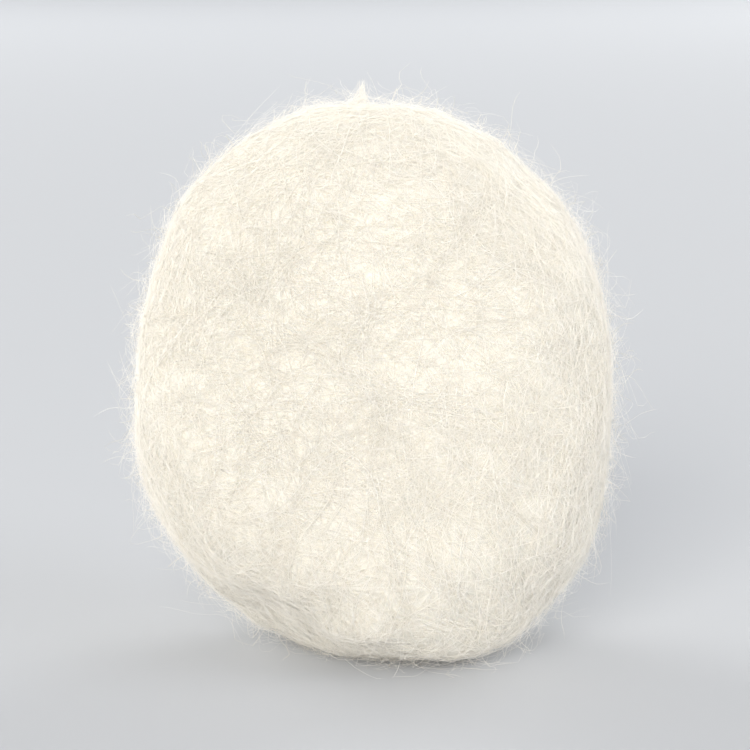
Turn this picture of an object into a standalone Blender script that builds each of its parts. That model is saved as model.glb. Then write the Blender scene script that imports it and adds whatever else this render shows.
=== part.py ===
"""A jumbo cotton ball, resting on a flat surface.

A real one is a strip of carded, bleached cotton, rolled up into a soft wad. It is one piece, so it is one solid
here. The solid has the wad's full outer form: the turn of the strip that ends in a lapped edge, the dimple and
whorl at each end of the roll with gathers round it, soft furrows, the sides that were pressed in while it was
packed, and the small flat spot that it rests on.

Metres, +Z up. The origin is under the middle of the ball, on the surface that it rests on. -Y is the front.
"""

import math

import bmesh
import bpy
from mathutils import Matrix, Vector, noise

# Overall size of the resting ball
BALL_WIDTH = 0.0336
BALL_DEPTH = 0.0322
BALL_HEIGHT = 0.0385
REST_SPOT_RADIUS = 0.0056

# How far the roll's axis leans from upright, and which way it leans, counted from +X
ROLL_LEAN = math.radians(40)
LEAN_BEARING = math.radians(48)

# The outer end of the strip, which laps over the turn below it
STRIP_THICKNESS = 0.00115
LAP_BEARING = math.radians(22)
LAP_SLANT = 0.50
LAP_RAGGEDNESS = 0.0024
RAG_LENGTH = 0.0062
# Its section, as distances along the turn from the lip's nose and shares of the strip's thickness
LAP_SECTION = (
    (-0.0032, 1.00),
    (-0.0015, 0.97),
    (-0.0004, 0.84),
    (0.0001, 0.58),
    (0.0001, 0.28),
    (0.0005, 0.04),
    (0.0015, -0.08),
    (0.0032, 0.00),
)

# The ends of the roll
DIMPLE_DEPTH = 0.0016
DIMPLE_RADIUS = 0.0044
WHORL_GROOVE = 0.00065
WHORL_PITCH = 0.0038
WHORL_RADIUS = 0.0066
WHORL_START = 0.0012
GATHER_COUNT = 9
GATHER_DEPTH = 0.00028
GATHER_RADIUS = 0.0072
GATHER_WIDTH = 0.0030

# Soft furrows along the strip: place across it, middle and length along the turn, depth and width
FURROWS = (
    (0.0050, math.radians(150), math.radians(95), 0.00050, 0.0021),
    (-0.0062, math.radians(95), math.radians(110), 0.00050, 0.0024),
    (-0.0010, math.radians(-25), math.radians(90), 0.00048, 0.0020),
    (-0.0084, math.radians(-105), math.radians(70), 0.00022, 0.0026),
)

# Unevenness of the wad: how far the surface strays, over what length, and where its noise is read
SWELL_HEIGHT = 0.00062
SWELL_LENGTH = 0.0120
SWELL_PLACE = Vector((40.0, 26.1, 9.4))
FLOCK_HEIGHT = 0.00030
FLOCK_LENGTH = 0.0040
FLOCK_PLACE = Vector((0.6, 7.9, 2.5))

# Sides pressed in while it was packed, and two that bulge: where each faces, as X, Y, Z, and how far in
PRESSED_SIDES = (
    (Vector((-0.68, -0.20, -0.70)), 0.0006),
    (Vector((0.86, -0.50, -0.05)), 0.0005),
    (Vector((-0.35, 0.88, 0.32)), 0.0009),
    (Vector((0.58, 0.76, -0.30)), 0.0008),
    (Vector((0.80, 0.05, -0.60)), -0.0009),
    (Vector((-0.75, -0.05, 0.66)), -0.0006),
)
PRESS_DEPTH = 0.0078
PACK_SQUEEZE = 0.0008

# Fineness of the surface
COLUMNS_IN_TURN = 68
RINGS = 46

MEAN_RADIUS = (BALL_WIDTH + BALL_DEPTH + BALL_HEIGHT) / 6


def smooth(share):
    """A soft rise from 0 to 1 as share goes from 0 to 1."""
    share = min(max(share, 0.0), 1.0)
    return share * share * (3 - 2 * share)


def bump(offset, width):
    """A rounded bump, 1 at offset 0 and almost gone at two widths from it."""
    return math.exp(-((offset / width) ** 2))


def angle_between(first, second):
    """The way round from second to first, from -pi to pi."""
    return (first - second + math.pi) % (2 * math.pi) - math.pi


def turn_section():
    """One turn of the strip as (angle, share of the strip's thickness), from the foot of the lap to its nose."""
    along = [(distance / MEAN_RADIUS, share) for distance, share in LAP_SECTION]
    first_angle, first_share = along[-1]
    last_angle, last_share = along[0]
    last_angle += 2 * math.pi
    section = []
    for column in range(1, COLUMNS_IN_TURN):
        share = column / COLUMNS_IN_TURN
        angle = first_angle + (last_angle - first_angle) * share
        section.append((angle, first_share + (last_share - first_share) * share))
    return section + along


def fade_at_ends(latitude):
    """1 over the middle of the roll, falling softly to 0 at its ends."""
    return smooth(1.5 * math.cos(latitude) - 0.1)


def lap_line(latitude):
    """The angle round the roll at which the strip ends: slanted, and ragged as torn cotton is."""
    place = latitude * MEAN_RADIUS / RAG_LENGTH
    rag = noise.noise(Vector((place, 3.7, 0.5))) + 0.5 * noise.noise(Vector((2 * place, 9.1, 0.5)))
    return LAP_BEARING + LAP_SLANT * latitude + fade_at_ends(latitude) * rag * LAP_RAGGEDNESS / MEAN_RADIUS


def end_form(angle, latitude):
    """How far the surface sinks at the ends of the roll: a dimple with a spiral groove, and gathers round it."""
    from_end = (math.pi / 2 - abs(latitude)) * MEAN_RADIUS
    hand = math.copysign(1, latitude)
    spiral = 0.5 + 0.5 * math.cos(hand * angle + 2 * math.pi * from_end / WHORL_PITCH)
    whorl = spiral**2 * bump(from_end, WHORL_RADIUS) * (1 - bump(from_end, WHORL_START))
    pleat = math.sin(GATHER_COUNT * angle + 2.4 * math.sin(angle + hand))
    gather = pleat * bump(from_end - GATHER_RADIUS, GATHER_WIDTH)
    return DIMPLE_DEPTH * bump(from_end, DIMPLE_RADIUS) + WHORL_GROOVE * whorl + GATHER_DEPTH * gather


def furrow_depth(angle, latitude):
    """How far the surface sinks in the furrows that run along the strip."""
    across = latitude * MEAN_RADIUS
    depth = 0.0
    for place, middle, length, deepest, width in FURROWS:
        along = angle_between(angle, middle) / (length / 2)
        wander = 0.0012 * math.sin(2.1 * angle + place / width)
        depth += deepest * smooth(1.25 - abs(along)) * bump(across - place - wander, width)
    return depth


def unevenness(direction):
    """How far the surface stands out or in at a direction from the middle of the wad."""
    swell = noise.noise(direction * (MEAN_RADIUS / SWELL_LENGTH) + SWELL_PLACE)
    flock = noise.noise(direction * (MEAN_RADIUS / FLOCK_LENGTH) + FLOCK_PLACE)
    return SWELL_HEIGHT * swell + FLOCK_HEIGHT * flock


def strip_surface(angle, share, latitude):
    """A point of the rolled strip about its own axis, +Z, before the ball is pressed."""
    level = math.cos(latitude)
    turn = angle + lap_line(latitude)
    direction = Vector((level * math.cos(turn), level * math.sin(turn), math.sin(latitude)))
    lift = STRIP_THICKNESS * (share - 0.5) * fade_at_ends(latitude)
    sink = end_form(turn, latitude) + furrow_depth(turn, latitude)
    return direction * (MEAN_RADIUS + lift - sink + unevenness(direction))


def rolled_wad():
    """The roll as a closed mesh: rings round its axis, joined by quads, with a fan at each end."""
    mesh = bmesh.new()
    section = turn_section()
    rings = []
    for step in range(1, RINGS):
        latitude = math.pi * (step / RINGS - 0.5)
        rings.append([mesh.verts.new(strip_surface(angle, share, latitude)) for angle, share in section])
    for below, above in zip(rings, rings[1:]):
        for left in range(len(section)):
            right = (left + 1) % len(section)
            mesh.faces.new((below[left], below[right], above[right], above[left]))
    for ring, latitude in ((rings[0], -math.pi / 2), (rings[-1], math.pi / 2)):
        tip = mesh.verts.new(strip_surface(0.0, 0.5, latitude))
        for left in range(len(section)):
            mesh.faces.new((ring[left], ring[(left + 1) % len(section)], tip))
    bmesh.ops.recalc_face_normals(mesh, faces=mesh.faces)
    return mesh


def lay_in_place(mesh):
    """Leans the roll's axis from upright, and gives the loose wad its proportions."""
    lean = Matrix.Rotation(ROLL_LEAN, 3, Vector((-math.sin(LEAN_BEARING), math.cos(LEAN_BEARING), 0)))
    loose = [(size + 2 * PACK_SQUEEZE) / (2 * MEAN_RADIUS) for size in (BALL_WIDTH, BALL_DEPTH, BALL_HEIGHT)]
    for vert in mesh.verts:
        vert.co = (lean @ vert.co) * Vector(loose)


def furthest(mesh, facing):
    """How far the wad reaches one way."""
    return max(vert.co.dot(facing) for vert in mesh.verts)


def press(mesh, facing, way_in):
    """Pushes in the side of the wad that faces one way, or lets it bulge, most where it reaches furthest."""
    start = furthest(mesh, facing) - PRESS_DEPTH
    for vert in mesh.verts:
        share = (vert.co.dot(facing) - start) / PRESS_DEPTH
        if share > 0:
            vert.co -= facing * way_in * share**3


def squeeze_to_size(mesh):
    """Presses the wad in from both sides, the front, the back and the top, each to its place."""
    for facing, limit in (
        (Vector((-1, 0, 0)), BALL_WIDTH / 2),
        (Vector((1, 0, 0)), BALL_WIDTH / 2),
        (Vector((0, -1, 0)), BALL_DEPTH / 2),
        (Vector((0, 1, 0)), BALL_DEPTH / 2),
        (Vector((0, 0, 1)), BALL_HEIGHT),
    ):
        press(mesh, facing, furthest(mesh, facing) - limit)


def rest_on_flat(mesh):
    """Stands the wad on z = 0, with one true flat face of about the rest spot's radius."""
    sag = MEAN_RADIUS - math.sqrt(MEAN_RADIUS**2 - REST_SPOT_RADIUS**2)
    down = Vector((0, 0, -1))
    drop = furthest(mesh, down) - sag
    for vert in mesh.verts:
        vert.co.z += drop
    everything = mesh.verts[:] + mesh.edges[:] + mesh.faces[:]
    cut = bmesh.ops.bisect_plane(mesh, geom=everything, plane_co=Vector(), plane_no=down, clear_outer=True)
    rim = [item for item in cut["geom_cut"] if isinstance(item, bmesh.types.BMEdge)]
    bmesh.ops.contextual_create(mesh, geom=rim)
    bmesh.ops.recalc_face_normals(mesh, faces=mesh.faces)


def cotton_material():
    """Bleached absorbent cotton: warm white, with no gloss."""
    cotton = bpy.data.materials.new("bleached_cotton")
    cotton.use_nodes = True
    shader = cotton.node_tree.nodes["Principled BSDF"]
    shader.inputs["Base Color"].default_value = (0.91, 0.87, 0.79, 1)
    shader.inputs["Roughness"].default_value = 0.95
    shader.inputs["Metallic"].default_value = 0.0
    return cotton


def cotton_ball():
    """The whole ball as one object."""
    mesh = rolled_wad()
    lay_in_place(mesh)
    for facing, way_in in PRESSED_SIDES:
        press(mesh, facing.normalized(), way_in)
    rest_on_flat(mesh)
    squeeze_to_size(mesh)
    data = bpy.data.meshes.new("cotton_ball")
    mesh.to_mesh(data)
    mesh.free()
    data.shade_smooth()
    data.materials.append(cotton_material())
    ball = bpy.data.objects.new("cotton_ball", data)
    bpy.context.scene.collection.objects.link(ball)


def main():
    for old in list(bpy.data.objects):
        bpy.data.objects.remove(old)
    cotton_ball()


main()
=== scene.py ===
"""The looks of a jumbo cotton ball: a rolled wad of bleached cotton, covered with its own loose fibres.

The wad keeps the solid's form. Over it lie layers of fibres, each a thin closed tube that follows the
surface: a matted web, a short nap, a looser fuzz of low arches, flyaway ends that make the soft outline, and
a wisp on top.
"""

import copy
import math

import bpy
import numpy as np
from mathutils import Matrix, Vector
from mathutils.bvhtree import BVHTree


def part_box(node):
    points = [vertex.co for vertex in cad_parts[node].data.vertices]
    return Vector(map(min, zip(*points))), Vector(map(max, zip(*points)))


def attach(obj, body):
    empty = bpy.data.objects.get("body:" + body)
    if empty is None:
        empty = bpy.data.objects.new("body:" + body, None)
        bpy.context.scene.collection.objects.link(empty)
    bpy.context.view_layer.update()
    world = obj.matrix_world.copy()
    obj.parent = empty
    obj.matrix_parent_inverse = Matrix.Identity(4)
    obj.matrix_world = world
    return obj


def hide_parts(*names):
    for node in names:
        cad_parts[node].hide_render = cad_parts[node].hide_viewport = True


MM = 0.001
SEED = 7

# The roll's axis, as in the solid: how far it leans from upright, and which way, counted from +X
ROLL_LEAN = math.radians(40)
LEAN_BEARING = math.radians(48)

# The wad under the fibres: how fine its mesh is, and how often that is smoothed
WAD_MESH_SIZE = 0.37 * MM
SMOOTHING_ROUNDS = 18
# Its puffs: length and height of each size of unevenness
PUFFS = ((7.0 * MM, 0.30 * MM), (4.0 * MM, 0.09 * MM))
# How far the surface that the web follows lies inside the solid's, and how far the wad lies under that
WEB_INSET = 0.10 * MM
WAD_DEPTH = 0.09 * MM

# A cotton fibre is 0.015 to 0.020 mm thick, a quarter of a pixel here. The loose ones are drawn about so,
# and those of the web thicker, as the strands of a few fibres that show on real cotton
LOOSE_FIBRE = 0.021 * MM
WEB_STRAND = 0.026 * MM
# A ripe cotton fibre is a flattened, twisted tube: its thickness as a share of its width
FIBRE_FLATNESS = 0.4
# How far the loose fibres are drawn over hollows, in steps of about 0.3 mm that spread as heat does
BRIDGING = 12

# How many strands each of the two webs has, and how many fibres each other layer
WEB_STRANDS = 4700
NAP_FIBRES = 6300
FUZZ_FIBRES = 4600
FLYAWAY_FIBRES = 2200
WISP_FIBRES = 110

# How far fibres turn off the way round the roll, in radians: at its ends, where they are gathered in, and by
# flocks. The gathers begin at the latitude with this sine, counted about the roll's axis
GATHER_TURN = 1.1
GATHERS_FROM = 0.72
FLOCK_TURN = 0.7
# Size of a flock on a ball of radius 1
FLOCK_SIZE = 0.55

# The wisp on top: where its foot is, the foot's radius, how far it stands up, and how far its tip leans right
WISP_PLACE = (-1.2 * MM, 1.5 * MM, 38.5 * MM)
WISP_RADIUS = 1.7 * MM
WISP_HEIGHT = 1.5 * MM
WISP_LEAN = 0.5 * MM

# Camera: its lens, how far it looks down, and how much of the height at the ball it takes in
LENS_MM = 135
SENSOR_MM = 36
CAMERA_RISE = math.radians(9)
FRAME_HEIGHT = 53 * MM

# Light: each softbox's name, place, size, power and tint
SOFTBOXES = (
    ("key_softbox", (-0.44, -1.96, 0.72), 1.05, 48, "FFFBF4"),
    ("fill_softbox", (1.82, -0.77, 0.70), 1.40, 13, "F8FAFF"),
    ("back_softbox_left", (-1.47, 1.50, 0.60), 1.20, 33, "FFFEFB"),
    ("back_softbox_right", (1.30, 1.75, 0.62), 1.20, 32, "FFFEFB"),
)
# Strength of the world as a light, and as the camera sees it, which is as pale as the floor
WORLD_LIGHT = 0.52
WORLD_SEEN = 0.72
FLOOR_SIZE = 5.6

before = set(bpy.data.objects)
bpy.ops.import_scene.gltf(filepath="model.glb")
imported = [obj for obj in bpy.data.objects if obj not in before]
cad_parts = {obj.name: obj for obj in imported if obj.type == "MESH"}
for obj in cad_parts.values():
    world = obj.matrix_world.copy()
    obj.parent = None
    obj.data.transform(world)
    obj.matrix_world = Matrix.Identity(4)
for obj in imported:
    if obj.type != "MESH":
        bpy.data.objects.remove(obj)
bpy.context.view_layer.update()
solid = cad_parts["cotton_ball"]
LOW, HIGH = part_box("cotton_ball")
MIDDLE = (LOW + HIGH) / 2
AXIS = np.array(
    (
        math.sin(ROLL_LEAN) * math.cos(LEAN_BEARING),
        math.sin(ROLL_LEAN) * math.sin(LEAN_BEARING),
        math.cos(ROLL_LEAN),
    )
)


def colour(hex_code):
    """An sRGB colour such as F4EFE2 as linear red, green, blue and alpha."""
    parts = [int(hex_code[i : i + 2], 16) / 255 for i in (0, 2, 4)]
    return [c / 12.92 if c <= 0.04045 else ((c + 0.055) / 1.055) ** 2.4 for c in parts] + [1]


def node(tree, kind, settings=(), inputs=(), links=()):
    """Adds a node with its settings, the values of its inputs, and links into its inputs."""
    made = tree.nodes.new(kind)
    for name, value in dict(settings).items():
        setattr(made, name, value)
    for name, value in dict(inputs).items():
        made.inputs[name].default_value = value
    for name, source in dict(links).items():
        tree.links.new(source, made.inputs[name])
    return made


def select_only(thing):
    bpy.ops.object.select_all(action="DESELECT")
    thing.select_set(True)
    bpy.context.view_layer.objects.active = thing


def apply_modifier(thing, kind, **settings):
    modifier = thing.modifiers.new(kind.lower(), kind)
    for name, value in settings.items():
        setattr(modifier, name, value)
    select_only(thing)
    bpy.ops.object.modifier_apply(modifier=modifier.name)


def make_wad():
    """The wad itself: the solid's form as a fine mesh with soft puffs."""
    wad = bpy.data.objects.new("cotton_wad", solid.data.copy())
    bpy.context.scene.collection.objects.link(wad)
    wad.data.materials.clear()
    select_only(wad)
    bpy.ops.object.mode_set(mode="EDIT")
    bpy.ops.mesh.select_all(action="SELECT")
    bpy.ops.mesh.remove_doubles(threshold=0.001 * MM)
    bpy.ops.object.mode_set(mode="OBJECT")
    apply_modifier(wad, "REMESH", mode="VOXEL", voxel_size=WAD_MESH_SIZE)
    apply_modifier(wad, "SMOOTH", factor=0.5, iterations=SMOOTHING_ROUNDS)
    for number, (length, height) in enumerate(PUFFS):
        puff = bpy.data.textures.new(f"puff_{number}", "CLOUDS")
        puff.noise_scale = length
        puff.noise_depth = 0
        apply_modifier(
            wad, "DISPLACE", texture=puff, texture_coords="LOCAL", strength=2 * height, mid_level=0.5
        )
    return wad


def sink(wad, depth):
    """Draws the wad's surface in, and keeps it off the floor."""
    apply_modifier(wad, "DISPLACE", strength=-depth, mid_level=0)
    for vert in wad.data.vertices:
        vert.co.z = max(vert.co.z, 0.0)
    bpy.ops.object.shade_smooth()


def unit(vectors):
    return vectors / np.maximum(np.linalg.norm(vectors, axis=-1, keepdims=True), 1e-12)


class Surface:
    """The wad's surface, as its distance from the middle for every direction."""

    # The directions are a degree apart, and each is looked along from a place well outside the ball
    STEP = math.radians(1)
    OUTSIDE = 40 * MM

    def __init__(self, wad):
        mesh = wad.data
        tree = BVHTree.FromPolygons([v.co for v in mesh.vertices], [p.vertices for p in mesh.polygons])
        self.middle = np.array(MIDDLE)
        self.rows = round(math.pi / self.STEP) + 1
        self.columns = round(2 * math.pi / self.STEP)
        self.reach = np.zeros((self.rows, self.columns))
        for row in range(self.rows):
            polar = row * self.STEP
            for column in range(self.columns):
                turn = column * self.STEP
                way = Vector(
                    (math.sin(polar) * math.cos(turn), math.sin(polar) * math.sin(turn), math.cos(polar))
                )
                hit = tree.ray_cast(MIDDLE + way * self.OUTSIDE, -way)
                self.reach[row, column] = self.OUTSIDE - hit[3]
        # A straight stretch of a strand between two joints then cuts into no puff
        near = self.near()
        self.reach = (np.max(near, axis=0) + np.mean(near, axis=0)) / 2

    def near(self):
        """The table moved by up to one place each way, nine tables in all."""
        ringed = np.pad(np.pad(self.reach, ((1, 1), (0, 0)), "edge"), ((0, 0), (1, 1)), "wrap")
        return [
            ringed[down : down + self.rows, across : across + self.columns]
            for down in range(3)
            for across in range(3)
        ]

    def drawn_over(self, times):
        """The surface of a web that is drawn over the hollows and touches the rises, as loose fibres do."""
        web = copy.copy(self)
        for _ in range(times):
            web.reach = np.maximum(self.reach, np.mean(web.near(), axis=0))
        return web

    def distance(self, way):
        """Distance from the middle to the surface along unit vectors, read between the table's directions."""
        row = np.arccos(np.clip(way[..., 2], -1, 1)) / self.STEP
        column = np.arctan2(way[..., 1], way[..., 0]) / self.STEP % self.columns
        top, left = np.floor(row).astype(int), np.floor(column).astype(int)
        down, across = row - top, column - left
        below, right = np.minimum(top + 1, self.rows - 1), (left + 1) % self.columns
        left = left % self.columns
        upper = self.reach[top, left] * (1 - across) + self.reach[top, right] * across
        lower = self.reach[below, left] * (1 - across) + self.reach[below, right] * across
        return upper * (1 - down) + lower * down


class Field:
    """A smooth random field in space, about -1 to 1, made of a few plane waves of about one length."""

    # Brings the sum of the waves, whose mean square is 1, to about -1 to 1
    SUM_REACH = 1.6

    def __init__(self, rng, length, waves=9):
        self.ways = unit(rng.normal(size=(waves, 3))) * 2 * math.pi / length
        self.ways = self.ways * rng.uniform(0.6, 1.4, (waves, 1))
        self.phases = rng.uniform(0, 2 * math.pi, waves)

    def at(self, places):
        total = np.sin(places @ self.ways.T + self.phases).sum(-1)
        return total / math.sqrt(len(self.phases) / 2) / self.SUM_REACH


def headings(rng, ways, flow, spread):
    """The way each fibre sets out: round the roll, turned near its ends, by its flock and by chance."""
    round_roll = unit(np.cross(AXIS, ways))
    to_end = np.cross(ways, round_roll)
    along_axis = ways @ AXIS
    gathered = np.clip((np.abs(along_axis) - GATHERS_FROM) / (1 - GATHERS_FROM), 0, 1)
    turn = GATHER_TURN * gathered * np.sign(along_axis)
    turn = turn + FLOCK_TURN * flow.at(ways) + spread * rng.normal(size=len(ways))
    turn = turn[:, None]
    return round_roll * np.cos(turn) + to_end * np.sin(turn)


def walk(rng, surface, ways, way_on, lengths, heights, curl, curl_length):
    """Lays fibres over the wad: paths of joints that curl as they go, each joint at its height above it."""
    count, joints = heights.shape
    step = (lengths / (joints - 1))[:, None]
    bend = rng.normal(size=count) * curl * 0.5
    swing = rng.normal(size=count) * curl
    phase = rng.uniform(0, 2 * math.pi, count)
    rate = 2 * math.pi / (curl_length * rng.uniform(0.6, 1.6, count))
    places = surface.middle + ways * (surface.distance(ways) + heights[:, 0])[:, None]
    path = [places]
    for joint in range(1, joints):
        along = step[:, 0] * joint
        turn = ((bend + swing * np.sin(rate * along + phase)) * step[:, 0])[:, None]
        side = np.cross(ways, way_on)
        way_on = way_on * np.cos(turn) + side * np.sin(turn)
        places = places + way_on * step
        ways = unit(places - surface.middle)
        way_on = unit(way_on - ways * (way_on * ways).sum(-1, keepdims=True))
        places = surface.middle + ways * (surface.distance(ways) + heights[:, joint])[:, None]
        path.append(places)
    return np.stack(path, axis=1)


def tube_faces(joints):
    """The triangles of one fibre, and where each of their corners lies along it and round it, both 0 to 1."""
    last = 3 * (joints - 2) + 1
    faces, spots = [], []
    for k in range(3):
        j = (k + 1) % 3
        here, there = k / 3, (k + 1) / 3
        end = 1 / (joints - 1)
        faces.append((0, 1 + j, 1 + k))
        spots.append(((0, (here + there) / 2), (end, there), (end, here)))
        faces.append((last, last - 3 + k, last - 3 + j))
        spots.append(((1, (here + there) / 2), (1 - end, here), (1 - end, there)))
        for r in range(joints - 3):
            a, b = 1 + 3 * r, 4 + 3 * r
            near, far = (r + 1) * end, (r + 2) * end
            faces.append((a + k, a + j, b + j))
            spots.append(((near, here), (near, there), (far, there)))
            faces.append((a + k, b + j, b + k))
            spots.append(((near, here), (far, there), (far, here)))
    return np.array(faces), np.array(spots)


def fibres(name, rng, path, thickness):
    """Closed three-sided tubes along paths, pointed at both ends, as one object.

    There is no tool for laying thousands of curling fibres, so their mesh is written out in one go. Each
    fibre has a tone of its own, as an attribute, and a cell of its own in the UV map, with a margin round it.
    """
    path = path.copy()
    path[..., 2] = np.maximum(path[..., 2], thickness.max())
    count, joints, _ = path.shape
    ahead = unit(np.gradient(path, axis=1))
    out = unit(path - np.array(MIDDLE))
    side = unit(np.cross(ahead, out))
    out = np.cross(side, ahead)
    ring = math.radians(-30) + 2 * math.pi * np.arange(3) / 3
    across, above = np.cos(ring)[:, None], FIBRE_FLATNESS * np.sin(ring)[:, None]
    spokes = side[:, 1:-1, None] * across + out[:, 1:-1, None] * above
    rings = path[:, 1:-1, None] + spokes * (thickness / 2)[:, None, None, None]
    points = np.concatenate([path[:, :1], rings.reshape(count, -1, 3), path[:, -1:]], axis=1)
    per_fibre = points.shape[1]
    faces, spots = tube_faces(joints)
    corners = (faces[None] + per_fibre * np.arange(count)[:, None, None]).reshape(-1)
    mesh = bpy.data.meshes.new(name)
    mesh.vertices.add(count * per_fibre)
    mesh.vertices.foreach_set("co", points.reshape(-1))
    mesh.loops.add(len(corners))
    mesh.loops.foreach_set("vertex_index", corners)
    mesh.polygons.add(len(corners) // 3)
    mesh.polygons.foreach_set("loop_start", np.arange(0, len(corners), 3))
    mesh.update(calc_edges=True)
    tone = mesh.attributes.new("tone", "FLOAT", "POINT")
    tone.data.foreach_set("value", np.repeat(rng.uniform(0, 1, count), per_fibre))
    cells = math.ceil(math.sqrt(count))
    cell = np.stack([np.arange(count) % cells, np.arange(count) // cells], axis=-1)
    margin = 0.08
    spread = (cell[:, None, None, :] + margin + (1 - 2 * margin) * spots[None]) / cells
    mesh.uv_layers.new(name="OFBake").data.foreach_set("uv", spread.reshape(-1))
    made = bpy.data.objects.new(name, mesh)
    bpy.context.scene.collection.objects.link(made)
    select_only(made)
    bpy.ops.object.shade_smooth()
    return made


def even_ways(rng, count):
    """Directions spread evenly over the ball, on a spiral that is turned by chance, each moved a little."""
    number = np.arange(count) + 0.5
    level = 1 - 2 * number / count
    turn = number * math.pi * (1 + math.sqrt(5)) + rng.uniform(0, 2 * math.pi)
    around = np.sqrt(1 - level**2)
    ways = np.stack([around * np.cos(turn), around * np.sin(turn), level], axis=-1)
    return unit(ways + rng.normal(size=(count, 3)) / math.sqrt(count))


def matted_web(name, rng, surface, flow, count, lowest, highest, thickness, spread, joints=9):
    """Long strands that lie on the wad and dip in and out of it, between two heights."""
    ways = even_ways(rng, count)
    lengths = rng.uniform(6, 13, count) * MM
    share = np.linspace(0, 1, joints)
    # Each strand has a height of its own, waves a little, and dives into the wad with both its ends
    base = rng.uniform(lowest, highest, (count, 1))
    wave = np.sin(2 * math.pi * (share * rng.uniform(0.8, 2.2, (count, 1)) + rng.uniform(0, 1, (count, 1))))
    ends = -0.25 * MM * np.abs(2 * share - 1) ** 6
    heights = base + 0.05 * MM * wave + ends
    way_on = headings(rng, ways, flow, spread)
    path = walk(rng, surface, ways, way_on, lengths, heights, curl=170, curl_length=6 * MM)
    return fibres(name, rng, path, thickness * np.exp(rng.normal(0, 0.32, count)))


def fuzz(name, rng, surface, flow, count, joints=9):
    """Shorter fibres that arch up from the wad and come down again."""
    ways = even_ways(rng, count)
    lengths = rng.uniform(2.5, 8.0, count) * MM
    share = np.linspace(0, 1, joints)
    # Millimetres over the wad: most arches stand about half a millimetre high, and a few over one
    top = rng.gamma(2.0, 0.28, (count, 1))
    heights = (top * np.sin(math.pi * share) ** 1.2 - 0.12) * MM
    way_on = headings(rng, ways, flow, 1.2)
    path = walk(rng, surface, ways, way_on, lengths, heights, curl=420, curl_length=3.5 * MM)
    return fibres(name, rng, path, LOOSE_FIBRE * rng.uniform(0.8, 1.3, count))


def flyaways(name, rng, surface, flow, count, joints=11):
    """Fibres with one end in the wad and the other standing off it, curling."""
    ways = even_ways(rng, count)
    lengths = rng.uniform(3.0, 9.0, count) * MM
    share = np.linspace(0, 1, joints)
    # Millimetres over the wad: most ends stand one to two out, and none more than four
    top = 0.5 + rng.gamma(1.7, 0.6, (count, 1))
    heights = (np.minimum(top, 4.0) * share**1.4 - 0.10) * MM
    way_on = headings(rng, ways, flow, 1.6)
    path = walk(rng, surface, ways, way_on, lengths, heights, curl=850, curl_length=2.6 * MM)
    return fibres(name, rng, path, LOOSE_FIBRE * rng.uniform(0.8, 1.2, count))


def nap(name, rng, surface, flow, count, joints=7):
    """Short loops and ends, close together, that stand a little way off the wad and soften its outline."""
    ways = even_ways(rng, count)
    lengths = rng.uniform(1.4, 4.2, count) * MM
    share = np.linspace(0, 1, joints)
    # Millimetres over the wad: about half a millimetre, as four loops to six ends
    top = 0.15 + rng.gamma(1.7, 0.30, (count, 1))
    loop = np.sin(math.pi * share)
    end = share**1.3
    heights = (top * np.where(rng.uniform(size=(count, 1)) < 0.4, loop, end) - 0.08) * MM
    way_on = headings(rng, ways, flow, 1.5)
    path = walk(rng, surface, ways, way_on, lengths, heights, curl=700, curl_length=2.4 * MM)
    return fibres(name, rng, path, LOOSE_FIBRE * rng.uniform(0.7, 1.0, count))


def wisp(name, rng, surface, count, joints=9):
    """A pinch of fibres on top that was drawn up to a point, with a slight twist."""
    share = np.linspace(0, 1, joints)
    # Each fibre winds about the wisp's middle as it closes in on it, and their tips stay a little apart
    turn = rng.uniform(0, 2 * math.pi, (count, 1)) + rng.normal(1.0, 0.6, (count, 1)) * share
    loose = 0.22 * MM * rng.normal(size=(count, 1)) * share
    spread = WISP_RADIUS * np.sqrt(rng.uniform(size=(count, 1))) * (1 - share) ** 1.2 + loose
    along = np.stack([spread * np.cos(turn), spread * np.sin(turn), np.zeros((count, joints))], axis=-1)
    along[..., 0] += WISP_LEAN * share**2
    ways = unit(np.array(WISP_PLACE) + along - surface.middle)
    foot = 0.15 * MM
    heights = -foot + (foot + WISP_HEIGHT * rng.uniform(0.15, 1.3, (count, 1))) * share**1.2
    path = surface.middle + ways * (surface.distance(ways) + heights)[..., None]
    return fibres(name, rng, path, LOOSE_FIBRE * rng.uniform(0.8, 1.2, count))


def streaks(tree, place, turn, width, run, seed):
    """Fine streaks, 0 to 1, that run round the roll through the whole wad. The turn sets them askew to it."""
    askew = node(
        tree,
        "ShaderNodeMapping",
        inputs={
            "Location": (seed, 0, 0),
            "Rotation": (turn, 0, 0),
            "Scale": (1 / run, 1 / run, 1 / width),
        },
        links={"Vector": place},
    )
    level = node(
        tree,
        "ShaderNodeTexNoise",
        inputs={"Scale": 1, "Detail": 2, "Roughness": 0.6, "Distortion": 0.5},
        links={"Vector": askew.outputs[0]},
    )
    return node(
        tree,
        "ShaderNodeMapRange",
        {"interpolation_type": "SMOOTHSTEP"},
        {"From Min": 0.3, "From Max": 0.7},
        {"Value": level.outputs["Fac"]},
    )


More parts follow.
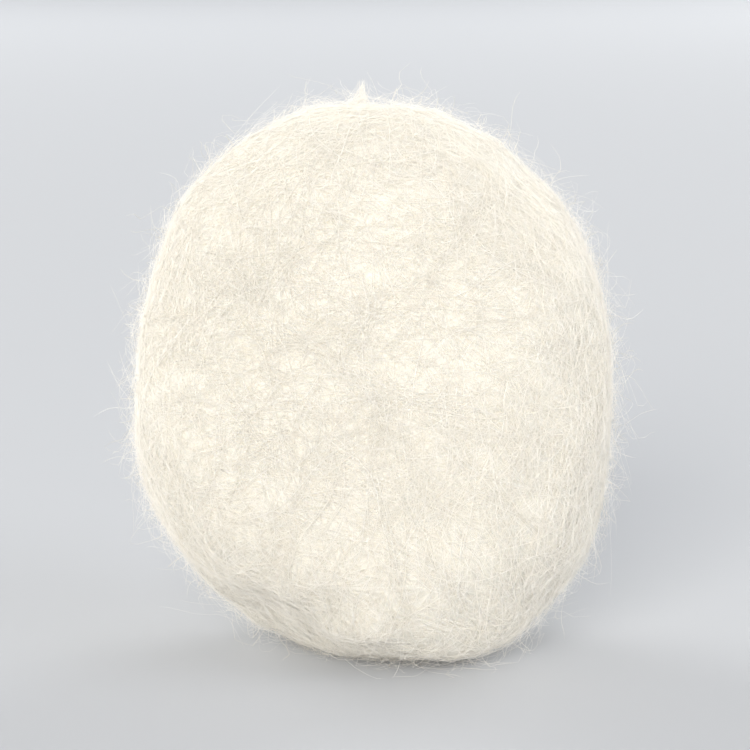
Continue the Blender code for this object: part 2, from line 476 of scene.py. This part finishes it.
def wad_material():
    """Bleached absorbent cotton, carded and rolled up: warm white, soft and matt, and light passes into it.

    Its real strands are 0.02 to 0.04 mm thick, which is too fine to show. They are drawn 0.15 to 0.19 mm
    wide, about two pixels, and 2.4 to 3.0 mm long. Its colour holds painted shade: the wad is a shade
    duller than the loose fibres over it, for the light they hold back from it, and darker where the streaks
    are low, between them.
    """
    made = bpy.data.materials.new("carded_cotton_wad")
    made.use_nodes = True
    tree = made.node_tree
    shader = tree.nodes["Principled BSDF"]
    place = node(tree, "ShaderNodeTexCoord").outputs["Object"]
    # The streaks wander by up to 1.6 mm each way, over about 4 mm
    stray = 1.6 * MM
    wander = node(
        tree,
        "ShaderNodeTexNoise",
        inputs={"Scale": 1 / (4.0 * MM), "Detail": 1},
        links={"Vector": place},
    )
    centred = node(
        tree,
        "ShaderNodeVectorMath",
        {"operation": "MULTIPLY_ADD"},
        {1: (2 * stray,) * 3, 2: (-stray,) * 3},
        {0: wander.outputs["Color"]},
    )
    wavy = node(
        tree, "ShaderNodeVectorMath", {"operation": "ADD"}, links={0: place, 1: centred.outputs[0]}
    )
    to_roll = node(
        tree,
        "ShaderNodeVectorRotate",
        {"rotation_type": "AXIS_ANGLE", "invert": True},
        {
            "Center": MIDDLE,
            "Axis": (-math.sin(LEAN_BEARING), math.cos(LEAN_BEARING), 0),
            "Angle": ROLL_LEAN,
        },
        {"Vector": wavy.outputs[0]},
    )
    straight = streaks(tree, to_roll.outputs[0], 0.2, 0.15 * MM, 3.0 * MM, 0)
    rising = streaks(tree, to_roll.outputs[0], 1.2, 0.17 * MM, 2.4 * MM, 11)
    falling = streaks(tree, to_roll.outputs[0], -0.7, 0.19 * MM, 2.8 * MM, 23)
    both = node(
        tree,
        "ShaderNodeMath",
        {"operation": "ADD"},
        links={0: straight.outputs[0], 1: rising.outputs[0]},
    )
    all_three = node(
        tree,
        "ShaderNodeMath",
        {"operation": "ADD"},
        links={0: both.outputs[0], 1: falling.outputs[0]},
    )
    web = node(tree, "ShaderNodeMath", {"operation": "MULTIPLY"}, {1: 1 / 3}, {0: all_three.outputs[0]})
    # Painted shade: darker where the streaks are low, between them, and a shade duller overall than the
    # fibres over it
    tint = node(
        tree,
        "ShaderNodeMix",
        {"data_type": "RGBA"},
        {6: colour("D8D4CA"), 7: colour("EBE8DF")},
        {0: web.outputs[0]},
    )
    tree.links.new(tint.outputs[2], shader.inputs["Base Color"])
    roughness = node(
        tree, "ShaderNodeMapRange", {}, {"To Min": 1.0, "To Max": 0.88}, {"Value": web.outputs[0]}
    )
    tree.links.new(roughness.outputs[0], shader.inputs["Roughness"])
    relief = node(
        tree, "ShaderNodeBump", {}, {"Strength": 1.0, "Distance": 0.09 * MM}, {"Height": web.outputs[0]}
    )
    tree.links.new(relief.outputs[0], shader.inputs["Normal"])
    shader.inputs["IOR"].default_value = 1.5
    shader.inputs["Specular IOR Level"].default_value = 0.15
    shader.inputs["Subsurface Weight"].default_value = 0.4
    shader.inputs["Subsurface Radius"].default_value = (1.0, 0.85, 0.65)
    shader.inputs["Subsurface Scale"].default_value = 0.6 * MM
    return made


def fibre_material():
    """Loose cotton fibres, bleached and never spun: each a shade of warm white, matt, with no hard glint."""
    made = bpy.data.materials.new("loose_cotton_fibre")
    made.use_nodes = True
    tree = made.node_tree
    shader = tree.nodes["Principled BSDF"]
    tone = node(tree, "ShaderNodeAttribute", {"attribute_name": "tone"}).outputs["Fac"]
    tint = node(
        tree, "ShaderNodeMix", {"data_type": "RGBA"}, {6: colour("F7F2E7"), 7: colour("FFFDF8")}, {0: tone}
    )
    tree.links.new(tint.outputs[2], shader.inputs["Base Color"])
    roughness = node(tree, "ShaderNodeMapRange", {}, {"To Min": 0.98, "To Max": 0.85}, {"Value": tone})
    tree.links.new(roughness.outputs[0], shader.inputs["Roughness"])
    shader.inputs["IOR"].default_value = 1.5
    shader.inputs["Specular IOR Level"].default_value = 0.15
    return made


def floor_and_backdrop():
    """A pale sweep: a floor that curves up into a wall far behind."""
    bpy.ops.mesh.primitive_plane_add(size=FLOOR_SIZE, location=(0, 0, 0))
    floor = bpy.context.object
    floor.name = "studio_sweep"
    bpy.ops.object.mode_set(mode="EDIT")
    bpy.ops.mesh.select_all(action="DESELECT")
    bpy.ops.object.mode_set(mode="OBJECT")
    for edge in floor.data.edges:
        edge.select = all(floor.data.vertices[v].co.y > 0 for v in edge.vertices)
    bpy.ops.object.mode_set(mode="EDIT")
    bpy.ops.mesh.select_mode(type="EDGE")
    bpy.ops.mesh.extrude_region_move(TRANSFORM_OT_translate={"value": (0, 0, FLOOR_SIZE / 2)})
    bpy.ops.object.mode_set(mode="OBJECT")
    apply_modifier(floor, "BEVEL", width=FLOOR_SIZE / 5, segments=24, limit_method="ANGLE")
    bpy.ops.object.shade_smooth()
    paper = bpy.data.materials.new("studio_paper")
    paper.use_nodes = True
    shader = paper.node_tree.nodes["Principled BSDF"]
    shader.inputs["Base Color"].default_value = colour("BDC0C5")
    shader.inputs["Roughness"].default_value = 0.9
    floor.data.materials.append(paper)


def area_lamp(name, place, size, power, tint):
    """A square softbox that faces the ball."""
    bpy.ops.object.light_add(type="AREA", location=place)
    lamp = bpy.context.object
    lamp.name = name
    lamp.rotation_euler = (MIDDLE - Vector(place)).to_track_quat("-Z", "Y").to_euler()
    lamp.data.size = size
    lamp.data.energy = power
    lamp.data.color = colour(tint)[:3]


def light_and_camera():
    world = bpy.data.worlds.new("studio")
    bpy.context.scene.world = world
    world.use_nodes = True
    world.node_tree.nodes["Background"].inputs["Color"].default_value = colour("FFFFFF")
    seen = node(world.node_tree, "ShaderNodeLightPath").outputs["Is Camera Ray"]
    strength = node(
        world.node_tree,
        "ShaderNodeMath",
        {"operation": "MULTIPLY_ADD"},
        {1: WORLD_SEEN - WORLD_LIGHT, 2: WORLD_LIGHT},
        {0: seen},
    )
    world.node_tree.links.new(strength.outputs[0], world.node_tree.nodes["Background"].inputs["Strength"])
    for name, place, size, power, tint in SOFTBOXES:
        area_lamp(name, place, size, power, tint)
    camera = bpy.data.objects.new("camera", bpy.data.cameras.new("camera"))
    bpy.context.scene.collection.objects.link(camera)
    camera.data.lens = LENS_MM
    camera.data.sensor_width = SENSOR_MM
    distance = FRAME_HEIGHT * LENS_MM / SENSOR_MM
    back = Vector((0, -math.cos(CAMERA_RISE), math.sin(CAMERA_RISE)))
    camera.location = MIDDLE + back * distance
    camera.rotation_euler = (-back).to_track_quat("-Z", "Y").to_euler()
    bpy.context.scene.camera = camera
    bpy.context.scene.view_settings.view_transform = "Standard"


floor_and_backdrop()
light_and_camera()

wad = make_wad()
sink(wad, WEB_INSET)
surface = Surface(wad)
sink(wad, WAD_DEPTH)
wad.data.materials.append(wad_material())
rng = np.random.default_rng(SEED)
flow = Field(rng, FLOCK_SIZE)

loose_surface = surface.drawn_over(BRIDGING)
lower_strand = WEB_STRAND * 1.25
upper_strand = WEB_STRAND * 0.85
layers = [
    matted_web("web_lower", rng, surface, flow, WEB_STRANDS, -0.05 * MM, 0.04 * MM, lower_strand, 1.0),
    matted_web("web_upper", rng, loose_surface, flow, WEB_STRANDS, -0.02 * MM, 0.20 * MM, upper_strand, 1.2),
    nap("nap", rng, loose_surface, flow, NAP_FIBRES),
    fuzz("fuzz", rng, loose_surface, flow, FUZZ_FIBRES),
    flyaways("flyaways", rng, loose_surface, flow, FLYAWAY_FIBRES),
    wisp("wisp", rng, loose_surface, WISP_FIBRES),
]
loose = fibre_material()
for layer in layers:
    layer.data.materials.append(loose)
    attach(layer, "root")
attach(wad, "root")
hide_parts("cotton_ball")
